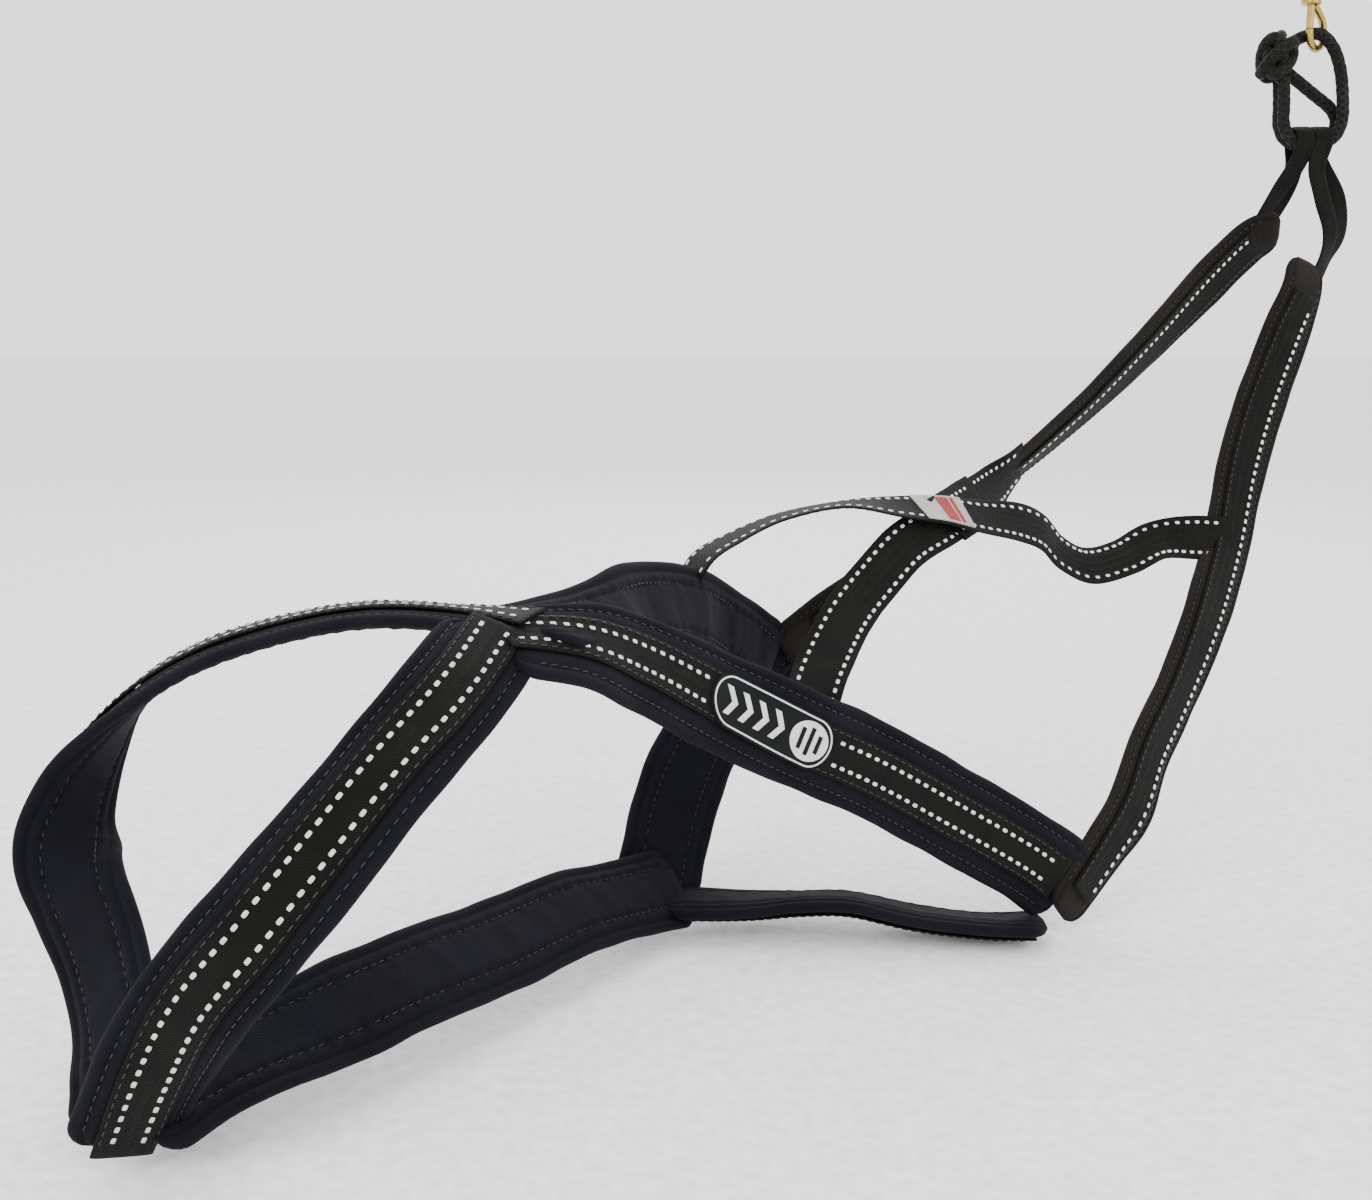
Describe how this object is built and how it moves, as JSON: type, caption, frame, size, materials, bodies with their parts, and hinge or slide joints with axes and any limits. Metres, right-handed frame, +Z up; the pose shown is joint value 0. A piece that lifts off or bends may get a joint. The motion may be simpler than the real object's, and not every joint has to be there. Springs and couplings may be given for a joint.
{
  "type": "dog pulling harness",
  "caption": "Padded X-back pulling harness for a dog, with reflective webbing, a rope tug loop and a brass bolt snap.",
  "frame": {"origin": "middle of the neck opening", "axes": "+X from the breastbone towards the tug end, +Y from the near flank to the far flank, +Z up as the harness hangs from its snap"},
  "size_m": [0.6636, 0.4974, 0.5413],
  "materials": {
    "pad_fabric": "matt padded fabric",
    "rear_fabric": "matt padded fabric",
    "webbing": "ribbed webbing",
    "woven_tag": "satin woven tape",
    "label": "woven patch with a pale border",
    "rope": "braided rope",
    "brass": "polished brass",
    "spring_steel": "spring wire"
  },
  "bodies": {
    "harness": {"neck_pad_near": "pad_fabric", "neck_pad_far": "pad_fabric", "chest_pad": "pad_fabric", "belly_pad_near": "pad_fabric", "belly_pad_far": "pad_fabric", "side_pad_near": "pad_fabric", "side_pad_far": "pad_fabric", "rear_pad_near": "rear_fabric", "rear_pad_far": "rear_fabric", "neck_web_near": "webbing", "neck_web_far": "webbing", "chest_web": "webbing", "belly_web_near": "webbing", "belly_web_far": "webbing", "side_web_near": "webbing", "side_web_far": "webbing", "rear_web_near": "webbing", "rear_web_far": "webbing", "back_web_to_far": "webbing", "back_web_to_near": "webbing", "back_keeper": "webbing", "back_tag": "woven_tag", "label_near": "label", "loop_web_far": "webbing", "loop_web_near": "webbing"},
    "tug_rope": {"tug_rope_long": "rope", "tug_rope_short": "rope", "tug_rope_tail": "rope", "tug_knot": "rope"},
    "snap": {"snap_body": "brass", "snap_spring": "spring_steel"},
    "bolt": {"snap_bolt": "brass", "snap_stud": "brass"},
    "eye": {"snap_eye": "brass"}
  },
  "joints": [
    {"name": "tug_rope_swing", "type": "hinge", "parent": "harness", "child": "tug_rope", "pos_m": [0.564, 0.42, 0.303], "axis": [1, 0, 0], "range_deg": [-30, 30]},
    {"name": "snap_swing", "type": "hinge", "parent": "tug_rope", "child": "snap", "pos_m": [0.564, 0.42, 0.368], "axis": [1, 0, 0], "range_deg": [-2, 15]},
    {"name": "bolt_slide", "type": "slide", "parent": "snap", "child": "bolt", "axis": [0, 0, 1], "range_m": [0, 0.008], "stiffness_N_per_m": 150, "springref_m": -0.004, "deforming": ["snap_spring"]},
    {"name": "eye_swivel", "type": "hinge", "parent": "snap", "child": "eye", "pos_m": [0.55707, 0.41307, 0.4325], "axis": [0, 0, 1], "continuous": true}
  ]
}
